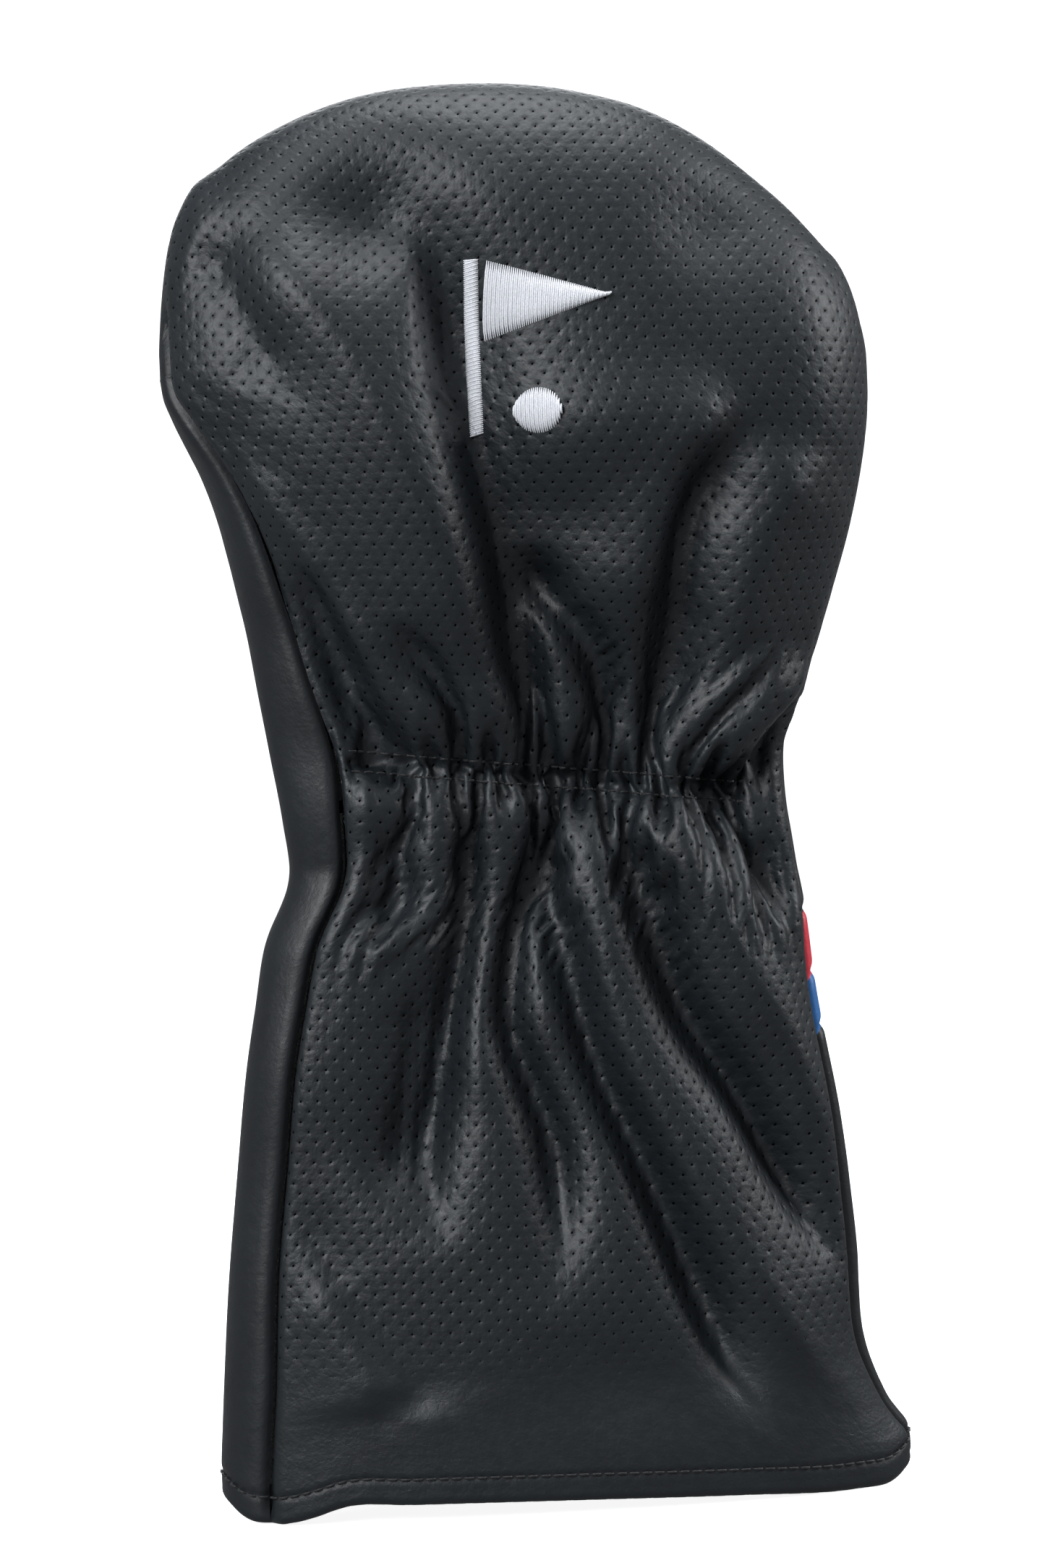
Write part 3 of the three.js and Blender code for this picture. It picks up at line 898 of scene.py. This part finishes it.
# The emblem's satin stitches: a golf flag, its pole and a ball, sewn straight across each shape.
POLE = (-14.35, -11.15, 253.5, 294.5)
FLAG = (-9.95, 19.05, 275.6, 294.5)
BALL = (0.95, 258.75, 5.25)
STRAND = 0.46

ground = BVHTree.FromPolygons(
    [Vector(p) for p in back_face.reshape(-1, 3)], grid_faces(*back_face.shape[:2], True).tolist()
)


def sewn(name, starts, ends, rise):
    """Strands from starts to ends, x and z, laid on the back panel and domed by a rise."""
    paths, outs = [], []
    bow = rise * (1 - np.abs(np.linspace(-1, 1, 9)) ** 3)
    for k, (start, end) in enumerate(zip(starts, ends)):
        line = start + (end - start) * np.linspace(0, 1, 9)[:, None]
        path, out = [], []
        for (x, z), height in zip(line, bow):
            hit, normal = ground.ray_cast(Vector((x, -120, z)), Vector((0, 1, 0)))[:2]
            normal = -normal if normal.y > 0 else normal
            path.append(hit + normal * (height + 0.12 * (k % 2)))
            out.append(normal)
        paths.append(path)
        outs.append(out)
    return strands(name, paths, outs, STRAND * 0.62, sides=5)


rise = np.arange(POLE[2], POLE[3], STRAND)
slant = 0.9
pole = sewn(
    "cover_emblem_pole",
    np.stack([np.full(len(rise), POLE[0]), rise], axis=1),
    np.stack([np.full(len(rise), POLE[1]), np.minimum(rise + slant, POLE[3])], axis=1),
    0.7,
)
run = np.arange(FLAG[0], FLAG[1] - 0.6, STRAND)
fall = (FLAG[3] - FLAG[2]) / 2 * (1 - (run - FLAG[0]) / (FLAG[1] - FLAG[0]))
middle = (FLAG[2] + FLAG[3]) / 2
flag = sewn(
    "cover_emblem_flag",
    np.stack([run, middle - fall], axis=1),
    np.stack([run + 0.8, middle + np.maximum(fall - 0.4, 0.3)], axis=1),
    1.0,
)
run = np.arange(-BALL[2] + 0.25, BALL[2] - 0.1, STRAND)
half = np.sqrt(BALL[2] ** 2 - run**2)
ball = sewn(
    "cover_emblem_ball",
    np.stack([BALL[0] + run, BALL[1] - half], axis=1),
    np.stack([BALL[0] + run, BALL[1] + half], axis=1),
    1.0,
)

# ---- Foam, linings and elastic inside ------------------------------------------------------------


def widest(field, reach):
    """The largest value within reach of each point of a grid."""
    rows, columns = field.shape
    wide = np.pad(field, reach, mode="edge")
    span = range(2 * reach + 1)
    return np.max([wide[i : i + rows, j : j + columns] for i in span for j in span], axis=0)


def layer_depth(wall, face):
    """How deep the layers under a panel start, so that the panel's folds stay outside them."""
    base = wall.points()
    depth = ((base - face) * normals(base, wall.back)).sum(axis=-1)
    deep = blur(widest(np.maximum(depth, 0), 4 if wall.back else 2), 2, 2)
    if wall.back:
        deep += 2.5 * np.exp(-(((base[..., 2] - WAIST_Z) / 24) ** 4))
    return deep


def layer(name, wall, depth, rows, inset, thickness, trim=2):
    """A layer inside the wall between two rows, at a depth under the panel's face."""
    part = (slice(*rows, 2), slice(trim, -trim, 2))
    outer = faced(wall, depth, inset)[part]
    inner = faced(wall, depth, inset + thickness)[part]
    return slab(name, outer, inner, wall.back)


FOAM, FLEECE = 2.4, 2.0
back_inside, front_inside = layer_depth(back_wall, back_face), layer_depth(front_wall, front_face)
hood_rows = (round(183 / ROW_STEP), None)
waist_rows = (round(170 / ROW_STEP), round(183 / ROW_STEP))
skirt_rows = (round(10.5 / ROW_STEP), round(169 / ROW_STEP))
inside = {}
for wall, depth, side in ((back_wall, back_inside, "back"), (front_wall, front_inside, "front")):
    inside[f"foam_{side}"] = layer(f"cover_foam_{side}", wall, depth, hood_rows, 1.5, FOAM, 3)
    name = f"cover_fleece_hood_{side}"
    inside[f"hood_{side}"] = layer(name, wall, depth, hood_rows, 1.8 + FOAM, FLEECE)
    name = f"cover_fleece_skirt_{side}"
    inside[f"skirt_{side}"] = layer(name, wall, depth, skirt_rows, 1.6, FLEECE)
    inside[f"waist_{side}"] = layer(f"cover_fleece_waist_{side}", wall, depth, waist_rows, 2.9, FLEECE)
ribbon_rows = (round(168 / ROW_STEP), round(178 / ROW_STEP))
ribbon = layer("cover_elastic_ribbon", back_wall, back_inside, ribbon_rows, 1.5, 1.0, 24)


def joined(name, first, second):
    """Two meshes as one piece."""
    mesh = bmesh.new()
    mesh.from_mesh(first.data)
    mesh.from_mesh(second.data)
    mesh.to_mesh(first.data)
    mesh.free()
    bpy.data.objects.remove(second)
    first.name = name
    return first


inside["waist"] = joined("cover_fleece_waist", inside.pop("waist_back"), inside.pop("waist_front"))

# ---- Materials -----------------------------------------------------------------------------------


class Shader:
    """A material's nodes, by short calls."""

    def __init__(self, name, roughness, specular=0.5):
        self.material = bpy.data.materials.new(name)
        self.material.use_nodes = True
        self.tree = self.material.node_tree
        self.shader = self.tree.nodes["Principled BSDF"]
        self.shader.inputs["Roughness"].default_value = roughness
        self.shader.inputs["Specular IOR Level"].default_value = specular

    def node(self, kind, **settings):
        node = self.tree.nodes.new("ShaderNode" + kind)
        for key, value in settings.items():
            if key in node.inputs:
                node.inputs[key].default_value = value
            else:
                setattr(node, key, value)
        return node

    def link(self, source, output, target, entry):
        self.tree.links.new(source.outputs[output], target.inputs[entry])

    def place(self):
        """The place on a panel's flat cut, in millimetres."""
        return self.node("Attribute", attribute_name="flat"), "Vector"

    def space(self):
        return self.node("TexCoord"), "Object"

    def noise(self, where, scale, detail=3.0, rough=0.5):
        node = self.node("TexNoise", Scale=scale, Detail=detail, Roughness=rough)
        self.link(*where, node, "Vector")
        return node

    def spread(self, source, output, low, high, entry, start=0.3, end=0.7):
        """A field turned into a range of values for one of the shader's inputs."""
        node = self.node("MapRange")
        for key, value in zip(("From Min", "From Max", "To Min", "To Max"), (start, end, low, high)):
            node.inputs[key].default_value = value
        self.link(source, output, node, "Value")
        self.link(node, "Result", self.shader, entry)

    def tint(self, source, output, dark, light, start=0.3, end=0.7):
        ramp = self.node("ValToRGB")
        ramp.color_ramp.elements[0].position = start
        ramp.color_ramp.elements[0].color = (*dark, 1)
        ramp.color_ramp.elements[1].position = end
        ramp.color_ramp.elements[1].color = (*light, 1)
        self.link(source, output, ramp, "Fac")
        self.link(ramp, "Color", self.shader, "Base Color")
        return ramp

    def bump(self, source, output, height, under=None):
        """Bumps of a height in millimetres, over another bump."""
        node = self.node("Bump", Strength=1.0, Distance=height * MM)
        self.link(source, output, node, "Height")
        if under is not None:
            self.link(under, "Normal", node, "Normal")
        self.link(node, "Normal", self.shader, "Normal")
        return node


def leather(name, dark, light, holes=False, grain=0.05):
    """Satin PU: fine pebbled grain, soft creases, a slightly uneven gloss, and painted shade in its holes."""
    s = Shader(name, 0.46, SHINE)
    where = s.place()
    cloudy = s.noise(where, 0.05, 2.0)
    ramp = s.tint(cloudy, "Fac", dark, light)
    # The hole centres are painted near black and lose their gloss: painted shade inside the perforations,
    # which are only shallow dimples in the mesh.
    if holes:
        hole = s.node("Attribute", attribute_name="hole")
        painted_hole_shade = s.node("MixRGB", Color2=(0.001, 0.001, 0.0012, 1))
        edge = s.node("MapRange", **{"From Min": 0.12, "From Max": 0.4})
        s.link(hole, "Fac", edge, "Value")
        s.link(edge, "Result", painted_hole_shade, "Fac")
        s.link(ramp, "Color", painted_hole_shade, "Color1")
        s.link(painted_hole_shade, "Color", s.shader, "Base Color")
        low = s.node("MapRange", **{"From Min": 0.12, "From Max": 0.4, "To Min": SHINE, "To Max": 0.0})
        s.link(hole, "Fac", low, "Value")
        s.link(low, "Result", s.shader, "Specular IOR Level")
    patchy = s.noise(where, 0.35, 3.0, 0.6)
    s.spread(patchy, "Fac", 0.42, 0.54, "Roughness")
    pebble = s.node("TexVoronoi", Scale=1.25, Randomness=1.0)
    pebble.feature = "SMOOTH_F1"
    s.link(*where, pebble, "Vector")
    coarse = s.bump(pebble, "Distance", grain)
    crease = s.noise(where, 0.22, 4.0, 0.62)
    soft = s.bump(crease, "Fac", grain * 6, coarse)
    fine = s.noise(where, 5.0, 2.0)
    s.bump(fine, "Fac", grain * 0.35, soft)
    return s.material


def fleece(name, dark, light):
    s = Shader(name, 0.95, 0.2)
    s.shader.inputs["Sheen Weight"].default_value = 0.35
    where = s.space()
    nap = s.noise(where, 900.0, 5.0, 0.7)
    s.tint(nap, "Fac", dark, light)
    tufts = s.noise(where, 260.0, 4.0, 0.65)
    s.bump(nap, "Fac", 0.5, s.bump(tufts, "Fac", 1.2))
    return s.material


def foam(name):
    s = Shader(name, 0.9, 0.2)
    where = s.space()
    cells = s.node("TexVoronoi", Scale=900.0)
    s.link(*where, cells, "Vector")
    s.tint(cells, "Distance", (0.02, 0.02, 0.021), (0.07, 0.07, 0.072), 0.0, 0.6)
    s.bump(cells, "Distance", 0.5)
    return s.material


def webbing(name):
    s = Shader(name, 0.7, 0.3)
    where = s.space()
    ribs = s.node("TexWave", Scale=240.0, Distortion=0.4, Detail=2.0)
    ribs.bands_direction = "Z"
    s.link(*where, ribs, "Vector")
    s.tint(ribs, "Fac", (0.35, 0.35, 0.34), (0.62, 0.62, 0.6))
    s.bump(ribs, "Fac", 0.25)
    return s.material


def thread(name, dark, light, roughness):
    s = Shader(name, roughness, 0.4)
    s.shader.inputs["Sheen Weight"].default_value = 0.2
    where = s.space()
    fibres = s.noise(where, 2600.0, 3.0)
    s.tint(fibres, "Fac", dark, light)
    s.bump(fibres, "Fac", 0.06)
    return s.material


SHINE = 0.45
perforated = leather("perforated_pu", (0.0062, 0.0082, 0.0104), (0.0094, 0.0122, 0.0150), holes=True)
plain = leather("smooth_pu", (0.0056, 0.0070, 0.0088), (0.0088, 0.0108, 0.0132), grain=0.035)
red = leather("red_pu", (0.62, 0.022, 0.045), (0.80, 0.050, 0.078), grain=0.035)
blue = leather("blue_pu", (0.014, 0.105, 0.34), (0.030, 0.160, 0.44), grain=0.035)
nap = fleece("fleece", (0.012, 0.012, 0.013), (0.05, 0.05, 0.053))
padding = foam("foam")
elastic = webbing("elastic")
black_thread = thread("black_thread", (0.002, 0.002, 0.0025), (0.010, 0.011, 0.012), 0.55)
white_thread = thread("white_thread", (0.60, 0.61, 0.64), (0.82, 0.82, 0.86), 0.45)

# ---- What each piece is, and what it moves with --------------------------------------------------


def piece(obj, material, slot, moves_with, *nodes):
    obj.data.materials.append(material)
    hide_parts(*nodes)
    if moves_with == "both":
        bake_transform(obj)
    else:
        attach(obj, moves_with)


back_nodes = ("hood_back_panel", "waist_back_gather", "skirt_back_panel")
front_nodes = ("hood_front_panel", "waist_front_strip", "skirt_front_upper_panel")
front_upper, front_red, front_blue, front_lower = pieces.values()
piece(back_panel, perforated, "perforated_pu", "both", *back_nodes)
piece(front_upper, plain, "smooth_pu", "both", *front_nodes)
piece(front_red, red, "red_pu", "skirt", "skirt_front_red_band")
piece(front_blue, blue, "blue_pu", "skirt", "skirt_front_blue_band")
piece(front_lower, plain, "smooth_pu", "skirt", "skirt_front_lower_panel")
piece(hem_back, black_thread, "thread_black", "skirt", "hem_stitching_back")
piece(hem_front, black_thread, "thread_black", "skirt", "hem_stitching_front")
for obj, side in zip(waist_stitches, ("upper", "lower")):
    piece(obj, black_thread, "thread_black", "both", f"elastic_stitching_{side}")
piece(pole, white_thread, "thread_white", "hood", "emblem_pole")
piece(flag, white_thread, "thread_white", "hood", "emblem_flag")
piece(ball, white_thread, "thread_white", "hood", "emblem_ball")
for side in ("back", "front"):
    piece(inside[f"foam_{side}"], padding, "foam", "both", f"hood_{side}_foam")
    piece(inside[f"hood_{side}"], nap, "fleece", "both", f"hood_{side}_lining")
    piece(inside[f"skirt_{side}"], nap, "fleece", "both", f"skirt_{side}_lining")
piece(inside["waist"], nap, "fleece", "both", "waist_lining")
piece(ribbon, elastic, "elastic", "both", "waist_elastic")


# ---- Camera, light and floor ---------------------------------------------------------------------

VIEW_MIDDLE = (-3.5, 0.0, 171.0)
VIEW_HEIGHT = 374.2
LENS = 110.0
AZIMUTH, ELEVATION, ROLL = -7.0, 2.0, -2.5

cam_data = bpy.data.cameras.new("camera")
cam_data.lens = LENS
cam_data.sensor_width = 36
camera = bpy.data.objects.new("camera", cam_data)
bpy.context.scene.collection.objects.link(camera)
a, e = math.radians(AZIMUTH), math.radians(ELEVATION)
away = Vector((math.sin(a) * math.cos(e), -math.cos(a) * math.cos(e), math.sin(e)))
camera.location = (Vector(VIEW_MIDDLE) + away * VIEW_HEIGHT * LENS / 36) * MM
facing = (-away).to_track_quat("-Z", "Y").to_matrix().to_4x4()
roll = Matrix.Rotation(math.radians(ROLL), 4, "Z")
camera.matrix_world = Matrix.Translation(camera.location) @ facing @ roll
bpy.context.scene.camera = camera


def area_light(name, place, target, size, power):
    data = bpy.data.lights.new(name, "AREA")
    data.shape = "RECTANGLE"
    data.size, data.size_y = size
    data.energy = power
    data.color = (0.95, 0.975, 1.0)
    light = bpy.data.objects.new(name, data)
    bpy.context.scene.collection.objects.link(light)
    light.location = place
    light.rotation_euler = (Vector(target) - Vector(place)).to_track_quat("-Z", "Y").to_euler()


area_light("key", (-0.8, -0.8, 0.8), (0, 0, 0.2), (0.7, 0.8), 17)
area_light("right", (0.95, -0.1, 0.7), (0, 0, 0.24), (0.35, 0.6), 7)
area_light("top", (0.1, 0.0, 1.2), (0, 0, 0.25), (0.8, 0.6), 9)
area_light("behind", (0.1, 1.1, 0.7), (0, 0, 0.2), (0.7, 0.6), 6)

world = bpy.data.worlds.new("studio")
bpy.context.scene.world = world
world.use_nodes = True
world.node_tree.nodes["Background"].inputs["Color"].default_value = (0.92, 0.96, 1, 1)
world.node_tree.nodes["Background"].inputs["Strength"].default_value = 0.3
bpy.context.scene.view_settings.view_transform = "Standard"


def paper(name, glow):
    """White paper that glows a little, so that it stays pale far from the lights."""
    s = Shader(name, 0.95, 0.05)
    s.tint(s.noise(s.space(), 300.0), "Fac", (0.80, 0.80, 0.80), (0.83, 0.83, 0.83))
    s.shader.inputs["Emission Color"].default_value = (1, 1, 1, 1)
    s.shader.inputs["Emission Strength"].default_value = glow
    return s.material


FLOOR = 5000.0
DOME = 4900.0
corners = FLOOR * np.array([(-1, -1, 0), (1, -1, 0), (1, 1, 0), (-1, 1, 0)])
floor = add_mesh("floor", corners, [(0, 1, 2, 3)])
floor.data.materials.append(paper("floor_paper", 0.9))
turns, tilts = np.meshgrid(np.linspace(0, 2 * math.pi, 49), np.linspace(-0.1, math.pi / 2, 13))
sphere = [np.cos(turns) * np.cos(tilts), np.sin(turns) * np.cos(tilts), np.sin(tilts)]
dome_points = DOME * np.stack(sphere, axis=-1)
dome = add_mesh("backdrop", dome_points.reshape(-1, 3), grid_faces(13, 49, False))
dome.data.materials.append(paper("backdrop_paper", 1.1))
# The papers are only a background: their glow doesn't light the cover or show in its gloss.
for obj in (floor, dome):
    obj.visible_diffuse = False
    obj.visible_glossy = False
dome.visible_shadow = False
